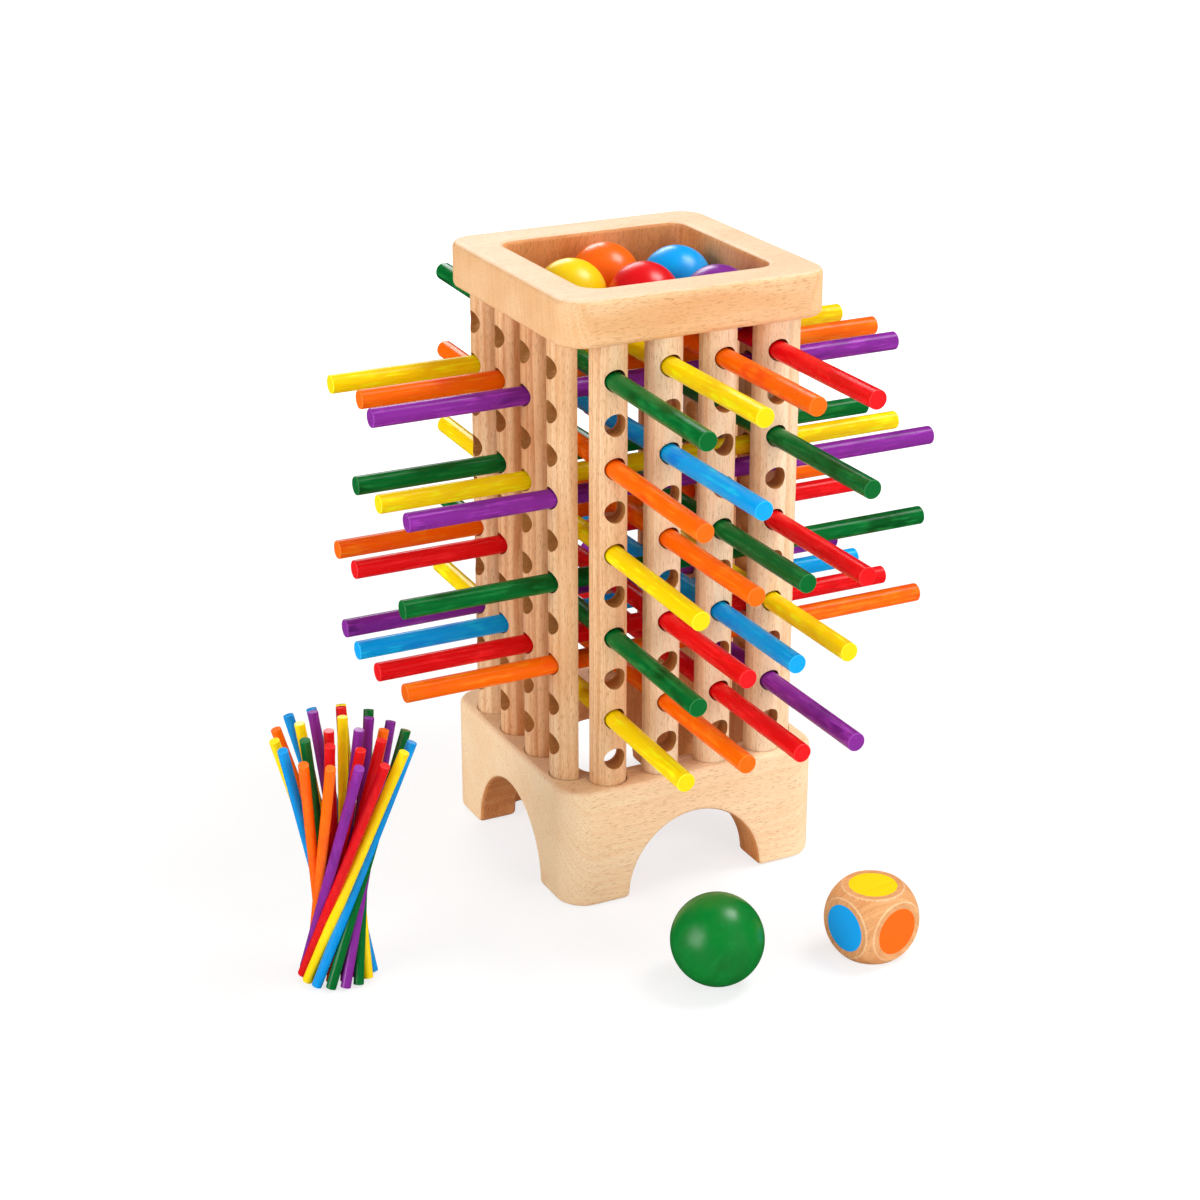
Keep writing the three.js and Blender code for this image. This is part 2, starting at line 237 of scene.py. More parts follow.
def grain_group() -> NodeTree:
    """Build the wood grain that all bare wood shares.

    The vector is in millimetres, with X along the grain and Y across the growth rings.

    Returns:
        A group that puts out a colour, a roughness and a bump height.
    """
    inputs = {
        "Pale": (COLOUR, (0.8, 0.6, 0.4, 1)),
        "Deep": (COLOUR, (0.6, 0.4, 0.2, 1)),
        "Fleck": (COLOUR, (0.3, 0.15, 0.06, 1)),
        "Ring Spacing": (VALUE, 2.0),
        "Ring Share": (VALUE, 0.4),
        "Fleck Share": (VALUE, 0.5),
        "Drift Share": (VALUE, 0.4),
    }
    sway_lengths, sway_reach = (90, 26, 26), 3.5
    drift_lengths = (60, 17, 17)
    pore_lengths = (2.8, 0.34, 0.34)
    pore_roughness, pore_depth = 0.14, 0.8
    fibre_lengths, fibre_share = (14, 0.5, 0.5), 0.14
    fibre_roughness, fibre_height = (0.46, 0.54), 0.35

    graph, entry, leave = open_group("Wood grain", inputs)
    given = entry.outputs
    vector = given["Vector"]
    across = graph.add("ShaderNodeSeparateXYZ", {0: vector}).outputs["Y"]
    swayed = graph.math("MULTIPLY_ADD", graph.noise(vector, sway_lengths), sway_reach, across)
    years = graph.math("DIVIDE", swayed, given["Ring Spacing"])
    growth = {"W": years, "Scale": 1.0, "Detail": 2.5, "Roughness": 0.62}
    rings = graph.add("ShaderNodeTexNoise", growth, noise_dimensions="1D").outputs["Fac"]
    bands = graph.ramp(rings, 0.36, 0.66)
    drift = graph.ramp(graph.noise(vector, drift_lengths), 0.3, 0.7)
    flecks = graph.ramp(graph.noise(vector, pore_lengths, detail=1.0), 0.54, 0.72)
    fibres = graph.ramp(graph.noise(vector, fibre_lengths), 0.3, 0.7)
    depth = graph.math("MULTIPLY", drift, given["Drift Share"])
    depth = graph.math("MULTIPLY_ADD", bands, given["Ring Share"], depth)
    depth = graph.math("MULTIPLY_ADD", fibres, fibre_share, depth)
    body = graph.mix(depth, given["Pale"], given["Deep"])
    spots = graph.math("MULTIPLY", flecks, given["Fleck Share"])
    sheen = graph.ramp(fibres, 0, 1, *fibre_roughness)
    ridges = graph.math("MULTIPLY", fibres, fibre_height)
    surface = {
        "Color": graph.mix(spots, body, given["Fleck"]),
        "Roughness": graph.math("MULTIPLY_ADD", flecks, pore_roughness, sheen),
        "Height": graph.math("MULTIPLY_ADD", flecks, -pore_depth, ridges),
    }
    graph.feed(leave, surface)
    return graph.tree


def coat_group() -> NodeTree:
    """Build the paint coat over turned wood that sticks, balls and the die's spots share.

    The vector is in millimetres, with X along the wood's grain.

    Returns:
        A group that puts out a colour, a roughness and a bump height.
    """
    inputs = {
        "Paint": (COLOUR, (0.5, 0.5, 0.5, 1)),
        "Thin": (COLOUR, (0.6, 0.6, 0.6, 1)),
        "Thick": (COLOUR, (0.4, 0.4, 0.4, 1)),
        "Streak Share": (VALUE, 0.5),
        "Roughness": (VALUE, 0.35),
    }
    streak_lengths, streak_wear = (30, 1.2, 1.2), 0.6
    mottle_lengths, mottle_wear, mottle_height = (9, 4, 4), 0.4, 0.5
    pool_lengths, pool_roughness, pool_height = (22, 9, 9), 0.09, 0.5

    graph, entry, leave = open_group("Paint coat", inputs)
    given = entry.outputs
    vector, share = given["Vector"], given["Streak Share"]
    streaks = graph.noise(vector, streak_lengths, detail=3.0, roughness=0.6)
    pools = graph.noise(vector, pool_lengths)
    mottle = graph.noise(vector, mottle_lengths, detail=1.0)
    wear_and_highlight = graph.math("MULTIPLY", mottle, mottle_wear)
    worn = graph.math("MULTIPLY_ADD", streaks, streak_wear, wear_and_highlight)
    thin = graph.math("MULTIPLY", graph.ramp(worn, 0.5, 0.64), share)
    thick = graph.math("MULTIPLY", graph.ramp(pools, 0.5, 0.75), share)
    pooled = graph.mix(thick, given["Paint"], given["Thick"])
    dull = graph.ramp(pools, 0.35, 0.7, 0.0, pool_roughness)
    swell = graph.math("MULTIPLY", pools, pool_height)
    surface = {
        "Color": graph.mix(thin, pooled, given["Thin"]),
        "Roughness": graph.math("ADD", dull, given["Roughness"]),
        "Height": graph.math("MULTIPLY_ADD", mottle, mottle_height, swell),
    }
    graph.feed(leave, surface)
    return graph.tree


@dataclass(frozen=True)
class Workshop:
    """The node groups that the finishes share."""

    grain: NodeTree
    coat: NodeTree


def blank(name: str) -> tuple[Material, Graph, Node]:
    """Start a node material.

    Args:
        name: The material's name.

    Returns:
        The material, its graph and its shader.
    """
    material = bpy.data.materials.new(name)
    material.use_nodes = True
    graph = Graph(material.node_tree)
    return material, graph, material.node_tree.nodes["Principled BSDF"]


@dataclass(frozen=True)
class WoodFinish:
    """Bare, oiled wood with growth rings and short dark flecks.

    The turn brings the grain onto X and the direction across the rings onto Y.
    """

    name: str
    pale: str
    deep: str
    fleck: str
    turn: Triple
    ring_spacing: float
    ring_share: float
    fleck_share: float
    drift_share: float
    gloss: float = 0.4
    bump: float = 0.04 * MM

    def make(self, shop: Workshop) -> Material:
        """Build the material.

        Args:
            shop: The shared node groups.

        Returns:
            The material.
        """
        material, graph, shader = blank(self.name)
        place = graph.add("ShaderNodeTexCoord").outputs["Object"]
        inputs = {
            "Vector": graph.turned(place, self.turn),
            "Pale": linear(self.pale),
            "Deep": linear(self.deep),
            "Fleck": linear(self.fleck),
            "Ring Spacing": self.ring_spacing,
            "Ring Share": self.ring_share,
            "Fleck Share": self.fleck_share,
            "Drift Share": self.drift_share,
        }
        grain = graph.add("ShaderNodeGroup", inputs, node_tree=shop.grain).outputs
        surface = {
            "Base Color": grain["Color"],
            "Roughness": grain["Roughness"],
            "Specular IOR Level": self.gloss,
            "Normal": graph.bump(grain["Height"], self.bump),
        }
        graph.feed(shader, surface)
        return material


@dataclass(frozen=True)
class Shade:
    """A change of a paint: deepened by a power, multiplied by a gain and lifted towards white."""

    gain: float
    lift: float = 0.0
    depth: float = 1.0

    def of(self, code: str) -> Colour:
        """The changed colour of an sRGB code, in linear light."""
        *channels, alpha = linear(code)
        return (*(min(1.0, x**self.depth * self.gain + self.lift) for x in channels), alpha)


@dataclass(frozen=True)
class PaintFinish:
    """Paint over turned wood, streaked along the grain, with a painted highlight on the rims of its
    ends.

    The turn brings the grain onto X. The ends are the faces that look along the run; a zero run
    has none.
    """

    name: str
    colour: str
    roughness: float
    streak_share: float
    run: Triple = (0.0, 0.0, 0.0)
    turn: Triple = (0.0, 0.0, 0.0)
    bump: float = 0.1 * MM
    refraction: float = 1.28
    gloss: float = 0.42
    thin: Shade = Shade(1.55, 0.008)
    thick: Shade = Shade(0.92, depth=1.45)
    # The rims' paler colour is a painted edge highlight.
    rim: Shade = Shade(1.5, 0.05)
    end: Shade = Shade(1.03)

    def wear_and_highlight(self, graph: Graph, normal: NodeSocket, colour: NodeSocket) -> NodeSocket:
        """Paint a highlight on the rims of a stick's ends and clean its end faces.

        Args:
            graph: The material's graph.
            normal: The surface's normal.
            colour: The coat's colour.

        Returns:
            The coat's colour with painted highlights on the rims and clean ends.
        """
        facing = graph.add("ShaderNodeVectorMath", {0: normal, 1: self.run}, operation="DOT_PRODUCT")
        endwise = graph.math("ABSOLUTE", facing.outputs["Value"])
        # Paler rims round the ends: a painted edge highlight.
        rim_highlight_share = graph.ramp(endwise, 0.3, 0.6, 0.0, 0.7)
        end_share = graph.ramp(endwise, 0.9, 0.98, 0.0, 0.9)
        colour = graph.mix(rim_highlight_share, colour, self.rim.of(self.colour))
        return graph.mix(end_share, colour, self.end.of(self.colour))

    def make(self, shop: Workshop) -> Material:
        """Build the material.

        Args:
            shop: The shared node groups.

        Returns:
            The material.
        """
        material, graph, shader = blank(self.name)
        coordinates = graph.add("ShaderNodeTexCoord").outputs
        inputs = {
            "Vector": graph.turned(coordinates["Object"], self.turn),
            "Paint": linear(self.colour),
            "Thin": self.thin.of(self.colour),
            "Thick": self.thick.of(self.colour),
            "Streak Share": self.streak_share,
            "Roughness": self.roughness,
        }
        coat = graph.add("ShaderNodeGroup", inputs, node_tree=shop.coat).outputs
        colour = coat["Color"]
        if any(self.run):
            colour = self.wear_and_highlight(graph, coordinates["Normal"], colour)
        surface = {
            "Base Color": colour,
            "Roughness": coat["Roughness"],
            "Specular IOR Level": self.gloss,
            "IOR": self.refraction,
            "Normal": graph.bump(coat["Height"], self.bump),
        }
        graph.feed(shader, surface)
        return material


def commit(name: str, mesh: BMesh, materials: Iterable[Material]) -> Object:
    """Turn a finished mesh into a piece at the origin.

    Args:
        name: The piece's name.
        mesh: The mesh, which is freed.
        materials: The piece's materials, in slot order.

    Returns:
        The piece.
    """
    for face in mesh.faces:
        face.smooth = True
    data = bpy.data.meshes.new(name)
    mesh.to_mesh(data)
    mesh.free()
    for material in materials:
        data.materials.append(material)
    piece = bpy.data.objects.new(name, data)
    bpy.context.scene.collection.objects.link(piece)
    return piece


def even_shading(piece: Object) -> None:
    """Weight a piece's normals by face size, so that flat faces stay flat beside rounded edges."""
    modifier = piece.modifiers.new("Even shading", "WEIGHTED_NORMAL")
    modifier.keep_sharp = True


def dress(piece: Object, node: str, body: str) -> None:
    """Let a piece stand for a CAD node and ride on its body.

    Args:
        piece: The piece.
        node: The CAD node that it replaces.
        body: The CAD body that it rides on.
    """
    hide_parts(node)
    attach(piece, body)
    LOG.info("%s: %d faces, rides on %s", piece.name, len(piece.data.polygons), body)


def place_mesh(mesh: BMesh, place: Matrix) -> None:
    """Bring a whole mesh to its place."""
    bmesh.ops.transform(mesh, matrix=place, verts=mesh.verts)


def whole(mesh: BMesh) -> list[BMVert | BMEdge | BMFace]:
    """All corners, edges and faces of a mesh."""
    return mesh.verts[:] + mesh.edges[:] + mesh.faces[:]


def join(mesh: BMesh, addition: BMesh) -> None:
    """Add one mesh to another.

    Args:
        mesh: The mesh that takes the other in.
        addition: The mesh to add, which is freed.
    """
    scratch = bpy.data.meshes.new("addition")
    addition.to_mesh(scratch)
    addition.free()
    mesh.from_mesh(scratch)
    bpy.data.meshes.remove(scratch)


def add_rod(mesh: BMesh, radius: float, length: float, sides: int, place: Matrix | None = None) -> None:
    """Add a closed round rod to a mesh.

    Args:
        mesh: The mesh.
        radius: The rod's radius.
        length: Its length.
        sides: The steps round it.
        place: Where it goes from upright and centred on the origin.
    """
    bmesh.ops.create_cone(
        mesh,
        cap_ends=True,
        segments=sides,
        radius1=radius,
        radius2=radius,
        depth=length,
        matrix=place or Matrix(),
    )


def carve(target: BMesh, cutter: BMesh) -> BMesh:
    """Cut one closed mesh out of another.

    Args:
        target: The mesh to cut, which is freed.
        cutter: The mesh to take away, which is freed.

    Returns:
        The cut mesh.
    """
    weld = 1e-7
    stock = commit("carve_target", target, [])
    tool = commit("carve_tool", cutter, [])
    modifier = stock.modifiers.new("Cut", "BOOLEAN")
    modifier.operation = "DIFFERENCE"
    modifier.solver = "EXACT"
    modifier.object = tool
    bpy.context.view_layer.update()
    result = bmesh.new()
    result.from_object(stock, bpy.context.evaluated_depsgraph_get())
    for used in (stock, tool):
        data = used.data
        bpy.data.objects.remove(used)
        bpy.data.meshes.remove(data)
    bmesh.ops.remove_doubles(result, verts=result.verts, dist=weld)
    return result


def soften(mesh: BMesh, edges: list[BMEdge], width: float, segments: int, clamp: bool = True) -> None:
    """Round edges over.

    Args:
        mesh: The mesh.
        edges: The edges to round.
        width: How far the rounding reaches into each face.
        segments: The steps across the rounding.
        clamp: Whether short edges may narrow the rounding.
    """
    bmesh.ops.bevel(
        mesh,
        geom=edges,
        offset=width,
        offset_type="OFFSET",
        segments=segments,
        profile=0.5,
        affect="EDGES",
        material=-1,
        clamp_overlap=clamp,
    )


def sharp_edges(mesh: BMesh, angle: float = 40.0) -> list[BMEdge]:
    """The edges whose two faces turn by more than an angle, in degrees."""
    inner = [edge for edge in mesh.edges if len(edge.link_faces) == 2]
    return [edge for edge in inner if edge.calc_face_angle() > math.radians(angle)]


def rounded_square(mesh: BMesh, side: float, radius: float, steps: int) -> list[BMEdge]:
    """Draw a square with rounded corners at z = 0, and leave only its outline.

    Args:
        mesh: The mesh to draw in.
        side: The square's side.
        radius: The corners' radius.
        steps: The steps round each corner.

    Returns:
        The outline's edges.
    """
    made = bmesh.ops.create_grid(mesh, x_segments=1, y_segments=1, size=side / 2)
    bmesh.ops.bevel(
        mesh,
        geom=made["verts"],
        offset=radius,
        offset_type="OFFSET",
        segments=steps,
        profile=0.5,
        affect="VERTICES",
        material=-1,
    )
    face = max(mesh.faces, key=lambda f: f.calc_area())
    edges = list(face.edges)
    bmesh.ops.delete(mesh, geom=[face], context="FACES_ONLY")
    return edges


def level_vector(angle: float, length: float) -> Vector:
    """A level vector of some length towards an angle, in radians."""
    return Vector((math.cos(angle), math.sin(angle), 0)) * length


def turn_about(axis: str, angle: float) -> Matrix:
    """A turn about the X, Y or Z axis by an angle in degrees."""
    return Matrix.Rotation(math.radians(angle), 4, axis)


def lean_to(axis: Vector) -> Matrix:
    """The turn that brings an upright rod onto an axis."""
    return UP.rotation_difference(axis).to_matrix().to_4x4()


def raise_faces(mesh: BMesh, height: float) -> None:
    """Extrude all faces upwards into a closed block whose faces look out.

    Args:
        mesh: The mesh.
        height: The block's height.
    """
    made = bmesh.ops.extrude_face_region(mesh, geom=list(mesh.faces))
    lifted = [item for item in made["geom"] if isinstance(item, BMVert)]
    bmesh.ops.translate(mesh, verts=lifted, vec=(0, 0, height))
    bmesh.ops.recalc_face_normals(mesh, faces=mesh.faces)


@dataclass
class Tower:
    """The base block, the tray frame and the sixteen half-round posts between them."""

    shop: Workshop
    base_corner: float = 13 * MM
    frame_corner: float = 12 * MM
    opening: float = 85 * MM
    opening_corner: float = 8 * MM
    corner_steps: int = 14
    arch_half_width: float = 31.5 * MM
    arch_crown: float = 34 * MM
    arch_sides: int = 112
    edge: float = 2.4 * MM
    edge_steps: int = 4
    posts_to_a_side: int = 4
    post_radius: float = 8 * MM
    post_flat: float = 1 * MM
    post_steps: int = 44
    hole_radius: float = 4.75 * MM
    hole_pitch: float = 18.3 * MM
    hole_sides: int = 48
    hole_rim: float = 0.35 * MM
    top_hole: float = 233.2 * MM
    levels: int = 10
    upside_down: str = "post_front_1"
    # Darker, redder wood for these posts: partly their own tone, partly painted shade on the shaded
    # left side.
    warm_posts: str = "left_2 left_3 right_2 right_3 back_1 back_4"
    # Paler wood for these front and right posts: painted light.
    cream_posts: str = "front_2 front_3 front_4 right_1"
    socket_gap: float = 0.6 * MM
    socket_depth: float = 4 * MM
    socket_steps: int = 32
    axis: Vector = field(init=False)
    finishes: dict[str, Material] = field(init=False)

    def __post_init__(self) -> None:
        """Find the tower's axis and make its woods."""
        low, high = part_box("base_block")
        self.axis = Vector(((low.x + high.x) / 2, (low.y + high.y) / 2, 0))
        # Pale, deep and fleck colours, turn, ring spacing, and shares of rings, flecks and drift
        woods = (
            WoodFinish("Base beech", "ffe4bc", "f5c692", "c88c54", (28, 0, 0), 1.3, 0.28, 0.55, 0.3),
            WoodFinish("Tray beech", "f8cf9e", "e6a668", "bd7a40", (6, 0, 0), 1.2, 0.3, 0.55, 0.35),
            # The tray's top wood is paler and less saturated: a painted sheen.
            WoodFinish("Painted sheen beech", "fbdcb8", "eec094", "c88e58", (6, 0, 0), 1.2, 0.3, 0.4, 0.35),
            # Sawn faces inside the blocks: their own grain, with a darker, redder colour that is
            # painted shade.
            WoodFinish("Sawn shaded beech", "f2b074", "d0803e", "945428", (0, 80, 0), 1.6, 0.3, 0.5, 0.5),
            WoodFinish("Pale post", "f8d4a8", "dca068", "a86c3a", (0, 90, 0), 1.9, 0.5, 0.5, 0.45),
            # The painted light wood: paler, standing in for more light on these posts.
            WoodFinish("Cream post", "fee6c4", "eebe8e", "bc8650", (0, 90, 0), 1.9, 0.45, 0.5, 0.4),
            # The warm shaded wood: partly the posts' own tone, partly painted shade.
            WoodFinish("Warm post", "f6c896", "cc8650", "a05c2c", (0, 90, 0), 1.7, 0.55, 0.45, 0.55),
            # The holes' walls get a darker, redder wood than the posts: painted shade inside the holes.
            WoodFinish("Drilled shaded wood", "e2a460", "b27436", "76461c", (0, 90, 0), 3.0, 0.4, 0.4, 0.4),
        )
        self.finishes = {wood.name: wood.make(self.shop) for wood in woods}

    def ring_block(self, side: float, corner: float, height: float) -> BMesh:
        """A square block with rounded corners and the drop shaft through it.

        Args:
            side: The block's side.
            corner: The radius of its corners.
            height: Its height from z = 0.

        Returns:
            The block's mesh.
        """
        mesh = bmesh.new()
        outline = rounded_square(mesh, side, corner, self.corner_steps)
        shaft = rounded_square(mesh, self.opening, self.opening_corner, self.corner_steps)
        bmesh.ops.bridge_loops(mesh, edges=outline + shaft)
        raise_faces(mesh, height)
        return mesh

    def half_round(self, length: float, growth: float, steps: int) -> BMesh:
        """A half-round bar from z = 0 up, with its round front towards -Y.

        Args:
            length: The bar's length.
            growth: How much it is grown all round.
            steps: The steps round its front.

        Returns:
            The bar's mesh.
        """
        radius, flat = self.post_radius + growth, self.post_flat + growth
        dip = math.asin(flat / radius)
        mesh = bmesh.new()
        start = mesh.verts.new((radius * math.cos(math.pi - dip), flat, 0))
        sweep = math.pi + 2 * dip
        bmesh.ops.spin(mesh, geom=[start], cent=(0, 0, 0), axis=UP, angle=sweep, steps=steps)
        bmesh.ops.contextual_create(mesh, geom=mesh.verts[:])
        raise_faces(mesh, length)
        return mesh

    def post_places(self) -> dict[str, Matrix]:
        """Find where the posts stand, from their nodes.

        Returns:
            Each post's place: the foot of its round front's axis, turned to its side.
        """
        places = {}
        to_axis = Vector((0, (self.post_radius - self.post_flat) / 2, 0))
        for side, turn in (("front", 0.0), ("right", 90.0), ("back", 180.0), ("left", 270.0)):
            spin = turn_about("Z", turn)
            for lane in range(1, self.posts_to_a_side + 1):
                name = f"post_{side}_{lane}"
                low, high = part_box(name)
                middle = (low + high) / 2
                middle.z = low.z
                places[name] = Matrix.Translation(middle + spin @ to_axis) @ spin
        return places

    def socket_cutter(self, bottom: float) -> BMesh:
        """Make the cutter for all the posts' sockets in one block.

        Args:
            bottom: The height at which it starts.

        Returns:
            The cutter's mesh.
        """
        joined = bmesh.new()
        for place in self.post_places().values():
            bar = self.half_round(self.socket_depth + self.edge, self.socket_gap, self.socket_steps)
            place.translation.z = bottom
            place_mesh(bar, place)
            join(joined, bar)
        return joined

    def mark_sawn_shaded(self, mesh: BMesh) -> None:
        """Give material 1 to the faces that a saw cut inside a block, which look at its middle; their
        grain is a sawn face's, and their darker, redder colour is painted shade.

        Args:
            mesh: The block's mesh, centred on the origin.
        """
        least_inward, least_down, clear_of_floor = 0.1 * MM, 0.2, 1 * MM
        for face in mesh.faces:
            spot, normal = face.calc_center_median(), face.normal
            inward = normal.x * spot.x + normal.y * spot.y < -least_inward
            within = max(abs(spot.x), abs(spot.y)) < self.opening
            overhead = normal.z < -least_down and spot.z > clear_of_floor and within
            face.material_index = 1 if inward or overhead else 0

    def build_base(self) -> None:
        """Model and dress the base block with its arches, soft edges and sockets."""
        low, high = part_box("base_block")
        side = high.x - low.x
        mesh = self.ring_block(side, self.base_corner, high.z)
        squeeze = Matrix.Diagonal((1, self.arch_crown / self.arch_half_width, 1, 1))
        for turn in (0.0, 90.0):
            arch = bmesh.new()
            add_rod(arch, self.arch_half_width, 2 * side, self.arch_sides)
            place_mesh(arch, turn_about("Z", turn) @ turn_about("X", 90) @ squeeze)
            mesh = carve(mesh, arch)
        flat = math.radians(0.5)
        bmesh.ops.dissolve_limit(mesh, angle_limit=flat, verts=mesh.verts, edges=mesh.edges)
        self.mark_sawn_shaded(mesh)
        soften(mesh, sharp_edges(mesh), self.edge, self.edge_steps, clamp=False)
        bmesh.ops.translate(mesh, verts=mesh.verts, vec=self.axis)
        mesh = carve(mesh, self.socket_cutter(high.z - self.socket_depth))
        woods = [self.finishes[name] for name in ("Base beech", "Sawn shaded beech")]
        piece = commit("base_block_wood", mesh, woods)
        even_shading(piece)
        dress(piece, "base_block", TOWER)

    def build_tray(self) -> None:
        """Model and dress the tray frame with its soft edges and the sockets in its underside."""
        low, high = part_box("tray_frame")
        mesh = self.ring_block(high.x - low.x, self.frame_corner, high.z - low.z)
        self.mark_sawn_shaded(mesh)
        # Upward faces take the paler top wood: a painted sheen on the tray's top.
        for face in mesh.faces:
            if face.normal.z > 0.9:
                face.material_index = 2
        soften(mesh, sharp_edges(mesh), self.edge, self.edge_steps)
        bmesh.ops.translate(mesh, verts=mesh.verts, vec=self.axis + UP * low.z)
        mesh = carve(mesh, self.socket_cutter(low.z - self.edge))
        woods = [self.finishes[name] for name in ("Tray beech", "Sawn shaded beech", "Painted sheen beech")]
        piece = commit("tray_frame_wood", mesh, woods)
        even_shading(piece)
        dress(piece, "tray_frame", TOWER)

    def post_mesh(self, bottom: float, top: float) -> BMesh:
        """Model one post with its drilled holes, from z = 0 up.

        Args:
            bottom: The height of the post's lower end in the tower.
            top: The height of its upper end.

        Returns:
            The mesh; the holes' walls have material 1.
        """
        mesh = self.half_round(top - bottom, 0, self.post_steps)
        heights = [self.top_hole - bottom - step * self.hole_pitch for step in range(self.levels)]
        drill = bmesh.new()
        for height in heights:
            lie = Matrix.Translation((0, 0, height)) @ turn_about("X", 90)
            add_rod(drill, self.hole_radius, 4 * self.post_radius, self.hole_sides, lie)
        for height in heights[1:]:
            cut = UP * (height + self.hole_pitch / 2)
            bmesh.ops.bisect_plane(mesh, geom=whole(mesh), plane_co=cut, plane_no=UP)
        mesh = carve(mesh, drill)
        # Faces of the holes' walls take material 1, the painted shade of the holes.
        wall_reach, most_frontal = self.hole_radius * 1.001, 0.5
        for face in mesh.faces:
            spot = face.calc_center_median()
            reach = min(math.hypot(spot.x, spot.z - height) for height in heights)
            drilled = reach < wall_reach and abs(face.normal.y) < most_frontal
            face.material_index = 1 if drilled else 0
        rims = [edge for edge in mesh.edges if len({f.material_index for f in edge.link_faces}) == 2]
        soften(mesh, rims, self.hole_rim, 2)
        for edge in sharp_edges(mesh, 35):
            edge.smooth = False
        return mesh

    def post_woods(self, name: str) -> list[Material]:
        """Choose a post's woods.

        Args:
            name: The post's node.

        Returns:
            The wood of its outside and that of its holes.
        """
        spot = name.removeprefix("post_")
        outside = "Pale post"
        # Warm shaded posts: partly their own tone, partly painted shade.
        if spot in self.warm_posts.split():
            outside = "Warm post"
        # Painted light posts take a paler wood.
        elif spot in self.cream_posts.split():
            outside = "Cream post"
        return [self.finishes[outside], self.finishes["Drilled shaded wood"]]

    def build_posts(self) -> None:
        """Model one post and dress a copy of it at each place, one of them turned end for end."""
        low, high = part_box(self.upside_down)
        pattern = self.post_mesh(low.z, high.z)
        flip = Matrix.Translation((0, 0, high.z - low.z)) @ turn_about("Y", 180)
        for name, place in self.post_places().items():
            mesh = pattern.copy()
            if name == self.upside_down:
                place_mesh(mesh, flip)
            place_mesh(mesh, place)
            piece = commit(f"{name}_wood", mesh, self.post_woods(name))
            even_shading(piece)
            dress(piece, name, TOWER)
        pattern.free()

    def build(self) -> None:
        """Build the whole tower."""
        self.build_base()
        self.build_tray()
        self.build_posts()


@dataclass
class Sticks:
    """The painted sticks that lie in the tower's holes."""

    shop: Workshop
    nodes: list[str]
    length: float = 246 * MM
    edge: float = 0.5 * MM
    edge_steps: int = 3
    sides: int = 48
    roughness: float = 0.22
    streak_share: float = 0.85

    def finishes(self) -> dict[tuple[Run, Paint], Material]:
        """Make a satin paint for each run and colour, streaked along the run.

        Returns:
            The materials, by run and colour.
        """
        made = {}
        for run, turn in ((Run.LONG, (0, 0, -90)), (Run.CROSS, (0, 0, 0))):
            for paint in Paint:
                name = f"{run.name.title()} stick {paint.label}"
                finish = PaintFinish(
                    name, paint.value, self.roughness, self.streak_share, run.value, turn
                )
                made[run, paint] = finish.make(self.shop)
        return made

    def build(self) -> None:
        """Model and dress every stick where its node lies.

        A node that is taller than its stick is thick slopes up along its run.
        """
        paints = self.finishes()
        for node in self.nodes:
            run = Run.LONG if "_column" in node else Run.CROSS
            paint = Paint.of(node)
            low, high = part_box(node)
            size = high - low
            diameter = min(size.x, size.y)
            axis = Vector(run.value) * self.length + UP * (size.z - diameter)
            mesh = bmesh.new()
            add_rod(mesh, diameter / 2, self.length, self.sides)
            soften(mesh, sharp_edges(mesh), self.edge, self.edge_steps)
            place_mesh(mesh, Matrix.Translation((low + high) / 2) @ lean_to(axis))
            piece = commit(f"{node}_paint", mesh, [paints[run, paint]])
            even_shading(piece)
            dress(piece, node, node)


@dataclass
class Balls:
    """The turned and painted balls, in the tray and loose on the floor."""

    shop: Workshop
    nodes: list[str]
    loose_green: str = "007a2a"
    roughness: float = 0.28
    streak_share: float = 0.2
    bump: float = 0.006 * MM
    refraction: float = 1.5
    grain_turn: Triple = (0.0, 60.0, 30.0)
    meridians: int = 72
    parallels: int = 48
    pole_flat: float = 0.05 * MM
    pole_tilt: tuple[float, float] = (70.0, 25.0)

    def finish(self, paint: Paint) -> PaintFinish:
        """Choose a ball's glossy paint; the loose green one is brighter than the green sticks.

        Args:
            paint: The ball's colour.

        Returns:
            The finish.
        """
        return PaintFinish(
            f"Ball {paint.label}",
            self.loose_green if paint is Paint.GREEN else paint.value,
            self.roughness,
            self.streak_share,
            turn=self.grain_turn,
            bump=self.bump,
            refraction=self.refraction,
        )

    def build(self) -> None:
        """Model and dress every ball, with the two small flats that a lathe leaves at its poles."""
        tip, turn = self.pole_tilt
        tilt = turn_about("Z", turn) @ turn_about("X", tip)
        for node in self.nodes:
            low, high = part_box(node)
            radius = (high.z - low.z) / 2
            pole = radius - self.pole_flat
            mesh = bmesh.new()
            bmesh.ops.create_uvsphere(
                mesh, u_segments=self.meridians, v_segments=self.parallels, radius=radius
            )
            for vert in mesh.verts:
                vert.co.z = max(-pole, min(pole, vert.co.z))
            place_mesh(mesh, Matrix.Translation((low + high) / 2) @ tilt)
            piece = commit(f"{node}_paint", mesh, [self.finish(Paint.of(node)).make(self.shop)])
            dress(piece, node, node)


